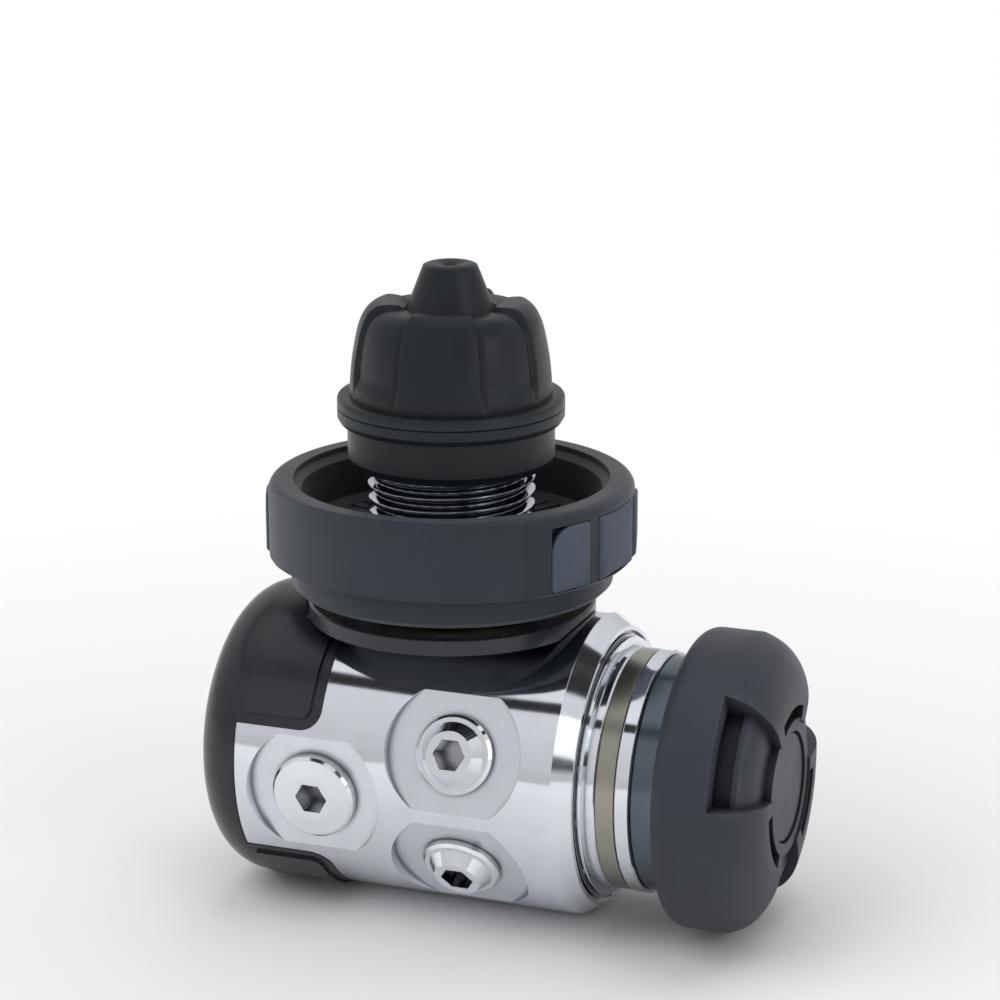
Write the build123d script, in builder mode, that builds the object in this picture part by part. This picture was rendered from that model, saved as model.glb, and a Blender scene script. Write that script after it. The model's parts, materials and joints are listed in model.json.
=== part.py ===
"""Diaphragm first stage of a scuba regulator with a DIN inlet and its dust cap.

The frame: +Z runs up the DIN inlet, the origin is the centre of the connector's sealing
face, and +X runs along the barrel towards the end cap. The barrel axis lies below the
origin. Heights are measured up from the barrel axis, radii from the axis of the piece.
"""

import os
from math import cos, radians, sin

from build123d import *

# ---- driving dimensions, millimetres and degrees ----
SEAT_HEIGHT = 48.0  # barrel axis to the connector's sealing face
BARREL_R = 20.8
BARREL_REAR = -28.5  # rear face of the barrel, inside the boot
BARREL_FRONT = 24.2
BARREL_CHAMFER = 1.6
FACE_GROOVE_R = 18.6
FACE_GROOVE_DEPTH = 0.5
BOSS_R = 11.5
BOSS_TOP = BARREL_R + 1.8

FIT = 0.05  # between pieces that seat in one another
RUNNING = 0.05  # radial, between a shaft and its bore
GAP = 0.3  # between pieces that move past one another

BOOT_WALL = 1.5
BOOT_PROUD = 0.1  # how far the boot stands over the barrel
BOOT_EDGE = -24.0
BOOT_REAR = -31.0
BOOT_CORNER = 7.0  # along the barrel
BOOT_CORNER_DROP = 6.0  # towards its axis
REAR_CHAMFER = 2.5
SADDLE_REACH = -11.8
SADDLE_CORNER_R = 3.0
SADDLE_PAD_PROUD = 0.4
SADDLE_PAD_INSET = 1.5
TOP_SADDLE_EDGE = 19.4  # degrees up from level, where the upper saddle starts
LOW_SADDLE_EDGE = -34.4

HIGH_BORE_R = 7.2
HIGH_BORE_FRONT = 4.0
REAR_BORE_R = 10.0
REAR_BORE_END = -19.5
LOW_BORE_R = 13.0
LOW_BORE_REAR = 9.5
DIAPHRAGM_REAR = 13.0
DIAPHRAGM_THICK = 1.2
DIAPHRAGM_R = 15.2
FRONT_THREAD_R = 16.0
INLET_THREAD_R = 8.0
INLET_BORE_END = 12.0
GAS_WAY_R = 3.0

HIGH_LEVEL = -6.2  # degrees up from level
LOW_LEVEL = -8.0  # degrees, midway between the two low-pressure ports
LOW_SPREAD = 25.55
HIGH_PORT_X = -12.5
LOW_PORT_X = 7.6
SPOTFACE_R = 9.7
SPOTFACE_LEVEL = BARREL_R - 1.65
HIGH_THREAD_R = 5.556  # 7/16 inch UNF
LOW_THREAD_R = 4.763  # 3/8 inch UNF
HIGH_HEAD_R = 5.95
LOW_HEAD_R = 5.4
HIGH_HEAD_RIM = 1.2
LOW_HEAD_RIM = 0.75
HIGH_HEAD_HEIGHT = 1.95
LOW_HEAD_HEIGHT = 2.75
HIGH_HEAD_SLOPE = 2.3
LOW_HEAD_SLOPE = 1.2
CROWN_FLAT_R = 3.2  # round each key socket
HEAD_BEVEL = 0.4
HIGH_PLUG_DEPTH = 6.4
LOW_PLUG_DEPTH = 5.2
HIGH_DRILL_LEVEL = 6.0
LOW_DRILL_LEVEL = 11.0
HEX_SOCKET = 4.0  # across flats
HEX_DEPTH = 3.6
PORT_SEAL_WIRE = 0.7
PORT_SEAL_DEPTH = 1.5
SEAL_COVER = 0.15  # how far a plug's head covers its seal

HOUSING_R = 16.65
HOUSING_FLANGE_R = 17.8
HOUSING_FLANGE_FRONT = BARREL_FRONT + 1.0
HOUSING_BAND_FRONT = BARREL_FRONT + 7.1
HOUSING_BEVEL = 0.25
HOUSING_BORE_R = 13.0
HOUSING_NOSE_R = 15.4
HOUSING_FRONT = BARREL_FRONT + 12.0
ACCENT_REAR = BARREL_FRONT + 2.3
ACCENT_FRONT = BARREL_FRONT + 4.9
ACCENT_DEPTH = 1.4
ACCENT_SUNK = 0.15

ADJUSTER_REAR = BARREL_FRONT + 5.4
ADJUSTER_FRONT = BARREL_FRONT + 9.2
ADJUSTER_BORE_R = 7.0
SPRING_R = 9.6
SPRING_WIRE = 1.1
SPRING_TURNS = 4.0
PAD_REAR = 14.9
PAD_FLANGE = 2.4
PAD_R = 11.4
PAD_BOSS_R = 7.9
PAD_BOSS = 1.8
WASHER_THICK = 0.5
LIFTER_PLATE = 0.9
LIFTER_PLATE_R = 5.0
LIFTER_PIN_R = 1.2
CROWN_FRONT = 9.3
CROWN_R = 7.1
CROWN_HOLE_R = 2.0
CROWN_LIP = 0.55
CROWN_SEAL_WIRE = 0.7
VALVE_OPENING = 0.85  # gap at the crown with no gas in the stage
POPPET_FACE = 2.6
POPPET_HEAD = 2.6
POPPET_R = 4.6
STEM_R = 2.45
STEM_END = -17.0
NOSE_R = 4.8
NOSE_END = -9.0
POPPET_SPRING_R = 3.7
POPPET_SPRING_WIRE = 0.4
POPPET_SPRING_TURNS = 6.0
PLUG_SEAL_X = -22.5
PLUG_SEAL_WIRE = 0.9
STEM_SEAL_X = -11.5
STEM_SEAL_WIRE = 0.6

CLAMP_NECK_R = 16.1
CLAMP_SHOULDER = BARREL_FRONT + 10.4
CLAMP_R = 17.5
CLAMP_FRONT = BARREL_FRONT + 17.0
CLAMP_LIP_R = 12.4
CLAMP_LIP = 1.2
OUTER_DIAPHRAGM_THICK = 0.9
PLUNGER_R = 5.6
PLUNGER_HEAD_R = 11.6
PLUNGER_HEAD = 1.5
PLUNGER_GAP = 0.9  # leaves room for the plunger's travel

CAP_REAR = BARREL_FRONT + 10.7
CAP_R = 20.45
CAP_REAR_BEVEL = 2.2
CAP_SIDE_FRONT = BARREL_FRONT + 18.4
CAP_LOBE_X = CAP_SIDE_FRONT + 6.3  # front of the raised lobes
CAP_FLOOR_X = CAP_SIDE_FRONT + 4.9  # front of the floor between them
CAP_RING_X = CAP_SIDE_FRONT + 6.0  # front of the ring round the medallion
CAP_FLAT_R = 11.4
CAP_SHOULDER_R = 14.8
CAP_SHOULDER_DROP = 0.6
CAP_CORNER_R = 17.5
CAP_CORNER_DROP = 2.0
FLOOR_INSET = 0.3  # how much narrower the floor's corners are than the lobes'
CAP_WALL = 2.4
CAP_EDGE_RUN = (-0.95, 0.3)  # which way the rounded front meets the side
CAP_HOLLOW_R = 14.4
CAP_HOLLOW_FLAT_R = 10.6
LOBES = 3
LOBE_ANGLE = 75.0
LOBE_CENTRE = 91.0
WINDOW_NOTCH_R = 16.6
WINDOW_NOTCH_X = CAP_SIDE_FRONT + 0.3
WINDOW_SLOT_R = 15.8
WINDOW_SLOT_OUTER_R = 17.6
WINDOW_SLOT_FRONT = CAP_SIDE_FRONT + 2.4
RING_OUTER_R = 9.3
CRESCENT_R = 10.3
CRESCENT_WIDTH = 1.8
CRESCENT_ANGLE = 52.0
CRESCENT_DEPTH = 1.4
MEDALLION_R = 7.6
MEDALLION_THICK = 0.75
MEDALLION_BEVEL = 0.3

INLET_COLLAR_R = 19.8
INLET_COLLAR_BASE = BARREL_R - 1.25
INLET_COLLAR_TOP = BARREL_R + 1.1
INLET_COLLAR_BEVEL = 0.3
FLANGE_R = 15.0
FLANGE_THICK = 1.0
STEM_TUBE_R = 8.2
STUD_BASE = BOSS_TOP + 1.4
HEAD_R = 9.9
HEAD_BASE = SEAT_HEIGHT - 2.15
CONNECTOR_BORE_R = 5.6
CONNECTOR_BORE_BASE = SEAT_HEIGHT - 18.0
FACE_SEAL_R = 7.9
FACE_SEAL_WIRE = 1.2
FACE_GROOVE_HALF = 1.25
SEAL_GROOVE_DEPTH = 1.85
CONNECTOR_SEAL_HEIGHT = 15.5
CONNECTOR_SEAL_WIRE = 0.75
FILTER_TOP = SEAT_HEIGHT - 1.7
FILTER_LIP = 0.9
FILTER_TIP = SEAT_HEIGHT - 15.0
FILTER_TIP_R = 3.2
FILTER_WALL = 1.0
CLIP_TOP = SEAT_HEIGHT - 0.9
CLIP_THICK = 0.7
CLIP_WIDTH = 1.4
CLIP_DEPTH = 0.45

DIN_THREAD_R = 11.455  # G 5/8 male, 22.911 mm
STUD_TOP = SEAT_HEIGHT - 2.5
STUD_RELIEF_R = 10.1
STUD_RELIEF = 1.0
STUD_LEAD = 1.2
HUB_R = 13.0
WHEEL_FLOOR = STUD_BASE + 7.0
WHEEL_BASE = STUD_BASE + 4.2
WHEEL_TOP = STUD_BASE + 15.0
WHEEL_R = 25.0
WHEEL_FLAT_R = 27.0  # radius of the two flatter sides
WHEEL_HALF_DEPTH = 23.7
WHEEL_TURN = -4.0
WHEEL_LOW_BEVEL = 0.35
WHEEL_TOP_ROUND = 1.5
RIM_LEDGE_R = 21.6
RIM_LEDGE_DEPTH = 1.6
CUP_R = 20.6
COLLAR_R = 22.1
COLLAR_BEVEL = 0.7
PAD_OUTER_R = 25.4
PAD_POCKET = 1.0
PAD_BASE = WHEEL_BASE + 0.4
PAD_TOP = WHEEL_TOP - 1.6
GRIP_PADS = ((-33.0, 15.0), (-13.5, 23.0), (14.0, 15.0))  # start and width, degrees

SKIRT_R = 14.1
SKIRT_BASE = SEAT_HEIGHT - 7.2
SKIRT_ROUND = 1.3
FLANGE_LOW = SEAT_HEIGHT - 1.2
CAP_SEAM = SEAT_HEIGHT + 0.9
CAP_FLANGE_R = 15.45
CAP_FLANGE_TOP = SEAT_HEIGHT + 2.5
DOME_BASE_R = 13.75
DOME_TOP_R = 11.6
DOME_SHOULDER = SEAT_HEIGHT + 13.6
DOME_ROUND = 1.8
CROWN_TOP = SEAT_HEIGHT + 15.2
CONE_BASE_R = 5.85
CONE_FOOT = SEAT_HEIGHT + 14.5
CONE_TOP = SEAT_HEIGHT + 20.4
CONE_TOP_R = 3.5
DIMPLE_R = 2.0
DIMPLE_DEPTH = 0.6
CAP_BORE_GAP = 0.3
CAP_CAVITY_R = 9.0
CAP_CAVITY_TOP = SEAT_HEIGHT + 12.0
LINER_R = 9.8
LINER_BASE = SEAT_HEIGHT + 0.85
LINER_THICK = 1.2
PANELS = 4
PANEL_ANGLE = 42.0
PANEL_DEPTH = 0.9
PANEL_BASE = SEAT_HEIGHT + 4.2
PANEL_TOP = SEAT_HEIGHT + 13.0
RIB_CENTRE = 14.0  # degrees from the viewer's side, the middle of one rib

os.makedirs("parts", exist_ok=True)

# ---- shared planes, axes and places ----
CENTRE = Vector(0, 0, -SEAT_HEIGHT)
BARREL_AXIS = Axis(CENTRE, (1, 0, 0))
DIN_AXIS = Axis(CENTRE, (0, 0, 1))
SIDE = Plane(origin=CENTRE, x_dir=(1, 0, 0), z_dir=(0, -1, 0))  # x along, y height


def barrel_plane(angle):
    """Half plane through the barrel axis, its y pointing outwards at this angle up from -Y."""
    outwards = Vector(0, -cos(radians(angle)), sin(radians(angle)))
    return Plane(origin=CENTRE, x_dir=(1, 0, 0), z_dir=Vector(1, 0, 0).cross(outwards))


def din_plane(angle):
    """Half plane through the DIN axis, its x pointing outwards at this angle from +X."""
    outwards = Vector(cos(radians(angle)), sin(radians(angle)), 0)
    return Plane(origin=CENTRE, x_dir=outwards, z_dir=outwards.cross(Vector(0, 0, 1)))


def level(height, turn=0.0):
    """Horizontal plane at a height over the barrel axis, turned about the DIN axis."""
    x_dir = (cos(radians(turn)), sin(radians(turn)), 0)
    return Plane(origin=(0, 0, height - SEAT_HEIGHT), x_dir=x_dir, z_dir=(0, 0, 1))


def station(x, turn=0.0):
    """Plane across the barrel at x, its own x pointing at this angle up from -Y."""
    x_dir = (0, -cos(radians(turn)), sin(radians(turn)))
    return Plane(origin=(x, 0, -SEAT_HEIGHT), x_dir=x_dir, z_dir=(1, 0, 0))


def port_plane(x, angle, side, distance):
    """Plane across a port, side -1 or 1 along Y, this far from the barrel axis."""
    outwards = Vector(0, side * cos(radians(angle)), sin(radians(angle)))
    origin = Vector(x, 0, -SEAT_HEIGHT) + outwards * distance
    return Plane(origin=origin, x_dir=(1, 0, 0), z_dir=outwards)


def high_ports(distance):
    """Planes across the two high-pressure ports."""
    return [port_plane(HIGH_PORT_X, HIGH_LEVEL, side, distance) for side in (-1, 1)]


def low_ports(distance):
    """Planes across the four low-pressure ports."""
    angles = (LOW_LEVEL + LOW_SPREAD, LOW_LEVEL - LOW_SPREAD)
    return [port_plane(LOW_PORT_X, a, side, distance) for side in (-1, 1) for a in angles]


def outline(*points):
    """Closed straight-sided face in the open sketch."""
    Polygon(*points, align=None)


def block(left, low, right, high):
    """Upright rectangle in the open sketch, from two corners."""
    outline((left, low), (right, low), (right, high), (left, high))


def saddle(start, arc, inner, outer, rear, reach, corner):
    """Curved pad round the barrel with two rounded front corners."""
    with BuildPart() as pad:
        with BuildSketch(barrel_plane(start)):
            block(rear, inner, reach, outer)
        revolve(axis=BARREL_AXIS, revolution_arc=-arc)
        front = pad.edges().filter_by(GeomType.LINE)
        front = front.filter_by(lambda edge: abs(edge.center().X - reach) < FIT)
        fillet(front, corner)
    return pad.part


def saddles(inner, outer, rear, inset):
    """The upper and the lower saddle, both shrunk by an inset."""
    turn = inset / BARREL_R * 180 / 3.1416
    reach = SADDLE_REACH - inset
    corner = max(SADDLE_CORNER_R - inset, FIT)
    found = []
    for edge, arc in (
        (TOP_SADDLE_EDGE + turn, 180 - 2 * (TOP_SADDLE_EDGE + turn)),
        (180 - LOW_SADDLE_EDGE + turn, 180 + 2 * (LOW_SADDLE_EDGE - turn)),
    ):
        found.append(saddle(edge, arc, inner, outer, rear, reach, corner))
    return found


# ---- the barrel, its boot and its port plugs ----
recess_r = BARREL_R + BOOT_PROUD - BOOT_WALL
boot_r = BARREL_R + BOOT_PROUD
recesses = saddles(recess_r - FIT, BARREL_R + 2, BOOT_EDGE, -FIT)
boot_saddles = saddles(recess_r, boot_r, BOOT_EDGE - FIT, 0)
pad_base_r = (recess_r + boot_r) / 2
boot_pads = saddles(pad_base_r, boot_r + SADDLE_PAD_PROUD, BOOT_EDGE + 1, SADDLE_PAD_INSET)

with BuildPart() as main_body:
    with BuildSketch(SIDE):
        outline(
            (BARREL_REAR, 0),
            (BARREL_FRONT, 0),
            (BARREL_FRONT, BARREL_R - BARREL_CHAMFER),
            (BARREL_FRONT - 1.6 * BARREL_CHAMFER, BARREL_R),
            (BOOT_EDGE, BARREL_R),
            (BOOT_EDGE, recess_r - FIT),
            (BARREL_REAR + REAR_CHAMFER, recess_r - FIT),
            (BARREL_REAR, recess_r - FIT - REAR_CHAMFER),
        )
    revolve(axis=BARREL_AXIS)
    with BuildSketch(level(0)):
        Circle(BOSS_R)
    extrude(amount=BOSS_TOP)
    for recess in recesses:
        add(recess, mode=Mode.SUBTRACT)
    with BuildSketch(level(0)):
        Circle(BOSS_R)
    extrude(amount=BOSS_TOP)
    with BuildSketch(SIDE):
        outline(
            (BARREL_REAR - 1, 0),
            (BARREL_FRONT + 1, 0),
            (BARREL_FRONT + 1, FRONT_THREAD_R),
            (DIAPHRAGM_REAR + DIAPHRAGM_THICK, FRONT_THREAD_R),
            (DIAPHRAGM_REAR + DIAPHRAGM_THICK, DIAPHRAGM_R + FIT),
            (DIAPHRAGM_REAR, DIAPHRAGM_R + FIT),
            (DIAPHRAGM_REAR, LOW_BORE_R),
            (LOW_BORE_REAR, LOW_BORE_R),
            (LOW_BORE_REAR, HIGH_BORE_R),
            (REAR_BORE_END, HIGH_BORE_R),
            (REAR_BORE_END, REAR_BORE_R),
            (BARREL_REAR - 1, REAR_BORE_R),
        )
    revolve(axis=BARREL_AXIS, mode=Mode.SUBTRACT)
    with BuildSketch(level(INLET_BORE_END)):
        Circle(INLET_THREAD_R)
    extrude(amount=BOSS_TOP, mode=Mode.SUBTRACT)
    with BuildSketch(level(0)):
        Circle(GAS_WAY_R)
    extrude(amount=BOSS_TOP, mode=Mode.SUBTRACT)
    with BuildSketch(station(BARREL_FRONT)):
        Circle(FACE_GROOVE_R)
        Circle(FACE_GROOVE_R - FACE_GROOVE_DEPTH, mode=Mode.SUBTRACT)
    extrude(amount=-FACE_GROOVE_DEPTH, mode=Mode.SUBTRACT)
    for planes, thread_r, head_r, drill in (
        (high_ports, HIGH_THREAD_R, HIGH_HEAD_R, HIGH_DRILL_LEVEL),
        (low_ports, LOW_THREAD_R, LOW_HEAD_R, LOW_DRILL_LEVEL),
    ):
        for plane in planes(SPOTFACE_LEVEL):
            with BuildSketch(plane):
                Circle(SPOTFACE_R)
            extrude(amount=BARREL_R, mode=Mode.SUBTRACT)
            with BuildSketch(plane):
                Circle(head_r - SEAL_COVER)
            extrude(amount=-PORT_SEAL_DEPTH, mode=Mode.SUBTRACT)
            with BuildSketch(plane):
                Circle(thread_r)
            extrude(amount=drill - SPOTFACE_LEVEL, mode=Mode.SUBTRACT)
main_body.part.label = "main_body"

corner_sag = 1 - sin(radians(45))
with BuildPart() as rear_boot:
    with BuildSketch(SIDE):
        with BuildLine():
            Polyline(
                (BOOT_REAR, 0),
                (BARREL_REAR - FIT, 0),
                (BARREL_REAR - FIT, recess_r - REAR_CHAMFER),
                (BARREL_REAR - FIT + REAR_CHAMFER, recess_r),
                (BOOT_EDGE - FIT, recess_r),
                (BOOT_EDGE - FIT, boot_r),
                (BOOT_REAR + BOOT_CORNER, boot_r),
            )
            ThreePointArc(
                (BOOT_REAR + BOOT_CORNER, boot_r),
                (BOOT_REAR + corner_sag * BOOT_CORNER, boot_r - corner_sag * BOOT_CORNER_DROP),
                (BOOT_REAR, boot_r - BOOT_CORNER_DROP),
            )
            Line((BOOT_REAR, boot_r - BOOT_CORNER_DROP), (BOOT_REAR, 0))
        make_face()
    revolve(axis=BARREL_AXIS)
    for piece in boot_saddles + boot_pads:
        add(piece)
    with BuildSketch(level(0)):
        Circle(BOSS_R + FIT)
    extrude(amount=BARREL_R + 2, mode=Mode.SUBTRACT)
    with BuildSketch(level(INLET_COLLAR_BASE - GAP)):
        Circle(INLET_COLLAR_R + GAP)
    extrude(amount=BARREL_R, mode=Mode.SUBTRACT)
rear_boot.part.label = "rear_boot"

plug_sets = {}
seal_sets = {}
for name, planes, thread_r, depth, head_r, rim, height, slope in (
    (
        "high",
        high_ports,
        HIGH_THREAD_R,
        HIGH_PLUG_DEPTH,
        HIGH_HEAD_R,
        HIGH_HEAD_RIM,
        HIGH_HEAD_HEIGHT,
        HIGH_HEAD_SLOPE,
    ),
    (
        "low",
        low_ports,
        LOW_THREAD_R,
        LOW_PLUG_DEPTH,
        LOW_HEAD_R,
        LOW_HEAD_RIM,
        LOW_HEAD_HEIGHT,
        LOW_HEAD_SLOPE,
    ),
):
    seal_r = head_r - SEAL_COVER - PORT_SEAL_WIRE
    neck_r = seal_r - PORT_SEAL_WIRE
    with BuildPart() as plugs:
        for plane in planes(SPOTFACE_LEVEL + FIT):
            across = Plane(origin=plane.origin, x_dir=plane.x_dir, z_dir=plane.x_dir.cross(plane.z_dir))
            with BuildSketch(across):
                outline(
                    (0, -depth),
                    (thread_r - FIT, -depth),
                    (thread_r - FIT, -PORT_SEAL_DEPTH),
                    (neck_r, -PORT_SEAL_DEPTH),
                    (neck_r, 0),
                    (head_r, 0),
                    (head_r, rim),
                    (head_r - HEAD_BEVEL, rim + HEAD_BEVEL),
                    (CROWN_FLAT_R + slope, rim + HEAD_BEVEL),
                    (CROWN_FLAT_R, height),
                    (0, height),
                )
            revolve(axis=Axis(plane.origin, plane.z_dir))
            with BuildSketch(plane.offset(height)):
                RegularPolygon(HEX_SOCKET / 2, 6, major_radius=False)
            extrude(amount=-HEX_DEPTH, mode=Mode.SUBTRACT)
    plug_sets[name] = plugs.part
    with BuildPart() as seals:
        with Locations(*planes(SPOTFACE_LEVEL - PORT_SEAL_WIRE - FIT)):
            Torus(seal_r, PORT_SEAL_WIRE - FIT)
    seal_sets[name] = seals.part

high_pressure_plugs = plug_sets["high"]
low_pressure_plugs = plug_sets["low"]
high_pressure_seals = seal_sets["high"]
low_pressure_seals = seal_sets["low"]
high_pressure_plugs.label = "high_pressure_plugs"
low_pressure_plugs.label = "low_pressure_plugs"
high_pressure_seals.label = "high_pressure_seals"
low_pressure_seals.label = "low_pressure_seals"

# ---- the high-pressure valve: balance plug, poppet, spring and crown ----
with BuildPart() as balance_plug:
    with BuildSketch(SIDE):
        outline(
            (BARREL_REAR, 0),
            (STEM_END - 1, 0),
            (STEM_END - 1, STEM_R + RUNNING),
            (NOSE_END, STEM_R + RUNNING),
            (NOSE_END, NOSE_R),
            (REAR_BORE_END, NOSE_R),
            (REAR_BORE_END, REAR_BORE_R - FIT),
            (BARREL_REAR, REAR_BORE_R - FIT),
        )
    revolve(axis=BARREL_AXIS)
    groove_base = REAR_BORE_R - 2 * PLUG_SEAL_WIRE
    with BuildSketch(SIDE):
        block(PLUG_SEAL_X - 1, groove_base, PLUG_SEAL_X + 1, REAR_BORE_R)
    revolve(axis=BARREL_AXIS, mode=Mode.SUBTRACT)
    with BuildSketch(SIDE):
        half = STEM_SEAL_WIRE + FIT
        block(STEM_SEAL_X - half, STEM_R, STEM_SEAL_X + half, STEM_R + 2 * half)
    revolve(axis=BARREL_AXIS, mode=Mode.SUBTRACT)
    with BuildSketch(station(BARREL_REAR)):
        RegularPolygon(HEX_SOCKET / 2, 6, major_radius=False)
    extrude(amount=HEX_DEPTH, mode=Mode.SUBTRACT)
balance_plug.part.label = "balance_plug"

with BuildPart() as balance_plug_seal:
    with Locations(station(PLUG_SEAL_X)):
        Torus(groove_base + PLUG_SEAL_WIRE, PLUG_SEAL_WIRE - FIT)
balance_plug_seal.part.label = "balance_plug_seal"

with BuildPart() as balance_stem_seal:
    with Locations(station(STEM_SEAL_X)):
        Torus(STEM_R + RUNNING + STEM_SEAL_WIRE, STEM_SEAL_WIRE)
balance_stem_seal.part.label = "balance_stem_seal"

with BuildPart() as poppet:
    with BuildSketch(SIDE):
        outline(
            (STEM_END, 0),
            (POPPET_FACE, 0),
            (POPPET_FACE, POPPET_R - 0.4),
            (POPPET_FACE - 0.4, POPPET_R),
            (POPPET_FACE - POPPET_HEAD, POPPET_R),
            (POPPET_FACE - POPPET_HEAD, STEM_R),
            (STEM_END, STEM_R),
        )
    revolve(axis=BARREL_AXIS)
poppet.part.label = "poppet"

spring_start = NOSE_END + POPPET_SPRING_WIRE + FIT
spring_length = POPPET_FACE - POPPET_HEAD - 2 * (POPPET_SPRING_WIRE + FIT) - NOSE_END
with BuildPart() as poppet_spring:
    with BuildLine() as coil:
        Helix(
            spring_length / POPPET_SPRING_TURNS,
            spring_length,
            POPPET_SPRING_R,
            center=(spring_start, 0, -SEAT_HEIGHT),
            direction=(1, 0, 0),
        )
    with BuildSketch(Plane(origin=coil.line @ 0, z_dir=coil.line % 0)):
        Circle(POPPET_SPRING_WIRE)
    sweep(is_frenet=True)
poppet_spring.part.label = "poppet_spring"

crown_rear = POPPET_FACE + VALVE_OPENING
with BuildPart() as crown_orifice:
    with BuildSketch(SIDE):
        outline(
            (crown_rear, CROWN_HOLE_R),
            (CROWN_FRONT, CROWN_HOLE_R),
            (CROWN_FRONT, CROWN_R),
            (HIGH_BORE_FRONT, CROWN_R),
            (HIGH_BORE_FRONT, CROWN_HOLE_R + 2 * CROWN_LIP),
            (crown_rear, CROWN_HOLE_R + CROWN_LIP),
        )
    revolve(axis=BARREL_AXIS)
    crown_groove_x = (HIGH_BORE_FRONT + CROWN_FRONT) / 2
    with BuildSketch(SIDE):
        half = CROWN_SEAL_WIRE + FIT
        block(crown_groove_x - half, CROWN_R - 2 * half, crown_groove_x + half, CROWN_R + 1)
    revolve(axis=BARREL_AXIS, mode=Mode.SUBTRACT)
crown_orifice.part.label = "crown_orifice"

with BuildPart() as crown_seal:
    with Locations(station(crown_groove_x)):
        Torus(CROWN_R - CROWN_SEAL_WIRE, CROWN_SEAL_WIRE)
crown_seal.part.label = "crown_seal"

# ---- the sensing side: diaphragm, lifter, spring, adjuster and housing ----
with BuildPart() as lifter:
    with BuildSketch(SIDE):
        plate_front = DIAPHRAGM_REAR - FIT
        outline(
            (POPPET_FACE + FIT, 0),
            (plate_front, 0),
            (plate_front, LIFTER_PLATE_R),
            (plate_front - LIFTER_PLATE, LIFTER_PLATE_R),
            (plate_front - LIFTER_PLATE, LIFTER_PIN_R),
            (POPPET_FACE + FIT, LIFTER_PIN_R),
        )
    revolve(axis=BARREL_AXIS)
lifter.part.label = "lifter"

with BuildPart() as diaphragm:
    with BuildSketch(SIDE):
        block(DIAPHRAGM_REAR, 0, DIAPHRAGM_REAR + DIAPHRAGM_THICK, DIAPHRAGM_R)
    revolve(axis=BARREL_AXIS)
diaphragm.part.label = "diaphragm"

washer_rear = DIAPHRAGM_REAR + DIAPHRAGM_THICK + FIT
with BuildPart() as friction_washer:
    with BuildSketch(SIDE):
        block(washer_rear, 0, washer_rear + WASHER_THICK, PAD_R)
    revolve(axis=BARREL_AXIS)
friction_washer.part.label = "friction_washer"

pad_front = PAD_REAR + PAD_FLANGE
with BuildPart() as spring_pad:
    with BuildSketch(SIDE):
        outline(
            (PAD_REAR, 0),
            (pad_front + PAD_BOSS, 0),
            (pad_front + PAD_BOSS, PAD_BOSS_R - 0.5),
            (pad_front, PAD_BOSS_R),
            (pad_front, PAD_R),
            (PAD_REAR, PAD_R),
        )
    revolve(axis=BARREL_AXIS)
spring_pad.part.label = "spring_pad"

coil_start = pad_front + SPRING_WIRE + FIT
coil_length = ADJUSTER_REAR - pad_front - 2 * (SPRING_WIRE + FIT)
with BuildPart() as main_spring:
    with BuildLine() as coil:
        Helix(
            coil_length / SPRING_TURNS,
            coil_length,
            SPRING_R,
            center=(coil_start, 0, -SEAT_HEIGHT),
            direction=(1, 0, 0),
        )
    with BuildSketch(Plane(origin=coil.line @ 0, z_dir=coil.line % 0)):
        Circle(SPRING_WIRE)
    sweep(is_frenet=True)
main_spring.part.label = "main_spring"

with BuildPart() as adjuster_nut:
    with BuildSketch(SIDE):
        block(ADJUSTER_REAR, ADJUSTER_BORE_R, ADJUSTER_FRONT, HOUSING_BORE_R - RUNNING)
    revolve(axis=BARREL_AXIS)
    with BuildSketch(station(ADJUSTER_FRONT)):
        with PolarLocations(ADJUSTER_BORE_R + 1, 6):
            Circle(1.2)
    extrude(amount=-2.0, mode=Mode.SUBTRACT)
adjuster_nut.part.label = "adjuster_nut"

housing_rear = DIAPHRAGM_REAR + DIAPHRAGM_THICK + FIT
with BuildPart() as spring_housing:
    with BuildSketch(SIDE):
        outline(
            (housing_rear, HOUSING_BORE_R),
            (HOUSING_FRONT, HOUSING_BORE_R),
            (HOUSING_FRONT, HOUSING_NOSE_R),
            (HOUSING_BAND_FRONT, HOUSING_NOSE_R),
            (HOUSING_BAND_FRONT, HOUSING_R - HOUSING_BEVEL),
            (HOUSING_BAND_FRONT - HOUSING_BEVEL, HOUSING_R),
            (ACCENT_FRONT + HOUSING_BEVEL, HOUSING_R),
            (ACCENT_FRONT, HOUSING_R - HOUSING_BEVEL),
            (ACCENT_FRONT, HOUSING_R - ACCENT_DEPTH),
            (ACCENT_REAR, HOUSING_R - ACCENT_DEPTH),
            (ACCENT_REAR, HOUSING_R - HOUSING_BEVEL),
            (ACCENT_REAR - HOUSING_BEVEL, HOUSING_R),
            (HOUSING_FLANGE_FRONT, HOUSING_R),
            (HOUSING_FLANGE_FRONT - HOUSING_BEVEL, HOUSING_FLANGE_R),
            (BARREL_FRONT + FIT, HOUSING_FLANGE_R),
            (BARREL_FRONT + FIT, FRONT_THREAD_R - FIT),
            (housing_rear, FRONT_THREAD_R - FIT),
        )
    revolve(axis=BARREL_AXIS)
spring_housing.part.label = "spring_housing"

with BuildPart() as accent_ring:
    with BuildSketch(SIDE):
        block(
            ACCENT_REAR + FIT,
            HOUSING_R - ACCENT_DEPTH + FIT,
            ACCENT_FRONT - FIT,
            HOUSING_R - ACCENT_SUNK,
        )
    revolve(axis=BARREL_AXIS)
accent_ring.part.label = "accent_ring"

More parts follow.
